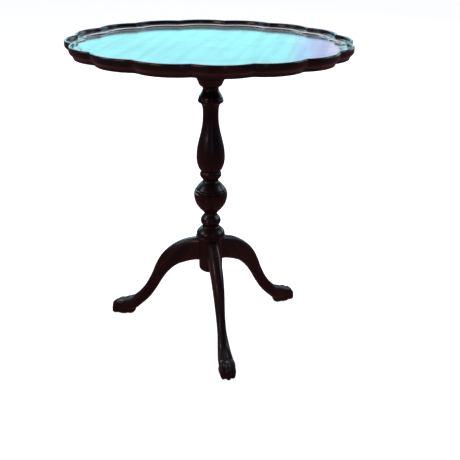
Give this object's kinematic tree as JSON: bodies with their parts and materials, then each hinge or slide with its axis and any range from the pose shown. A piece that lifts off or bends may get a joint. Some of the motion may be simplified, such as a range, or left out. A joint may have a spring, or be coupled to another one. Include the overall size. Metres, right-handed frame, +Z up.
{
  "type": "tilt top table",
  "caption": "Tripod side table with a scalloped, dished round top that tilts upright on a block, a turned baluster column and cabriole legs with carved paw feet.",
  "frame": {"origin": "on the floor under the column axis, at the centre of the top's outline", "axes": "+Z up; the top tilts about an axis along +Y, its -X edge rising; the front leg points close to -Y"},
  "size_m": [0.636, 0.636, 0.714],
  "materials": {
    "polished_mahogany": "dark French-polished mahogany, glossy",
    "plain_wood": "dark wood, unpolished and matt",
    "screw_iron": "dark iron, dull",
    "pin_steel": "bare steel, dull",
    "catch_brass": "aged brass, satin"
  },
  "bodies": {
    "base": {"column": "polished_mahogany", "tenon_wedge": "plain_wood", "block": "plain_wood", "pivot_pin_front": "pin_steel", "pivot_pin_rear": "pin_steel", "leg_front": "polished_mahogany", "leg_right": "polished_mahogany", "leg_left": "polished_mahogany", "keeper_plate": "catch_brass", "keeper_screw_1": "catch_brass", "keeper_screw_2": "catch_brass"},
    "top": {"top_board": "polished_mahogany", "bearer_front": "plain_wood", "bearer_rear": "plain_wood", "bearer_screw_1": "screw_iron", "bearer_screw_2": "screw_iron", "bearer_screw_3": "screw_iron", "bearer_screw_4": "screw_iron", "bearer_screw_5": "screw_iron", "bearer_screw_6": "screw_iron", "bearer_screw_7": "screw_iron", "bearer_screw_8": "screw_iron", "catch_case": "catch_brass", "catch_screw_1": "catch_brass", "catch_screw_2": "catch_brass", "catch_screw_3": "catch_brass", "catch_screw_4": "catch_brass"},
    "bolt": {"catch_bolt": "catch_brass", "catch_knob": "catch_brass"}
  },
  "joints": [
    {"name": "top_tilt", "type": "hinge", "parent": "base", "child": "top", "pos_m": [0.0543, 0, 0.665], "axis": [0, 1, 0], "range_deg": [0, 90]},
    {"name": "catch_slide", "type": "slide", "parent": "top", "child": "bolt", "axis": [-1, 0, 0], "range_m": [0, 0.009], "stiffness_N_per_m": 300, "springref_m": -0.008}
  ]
}
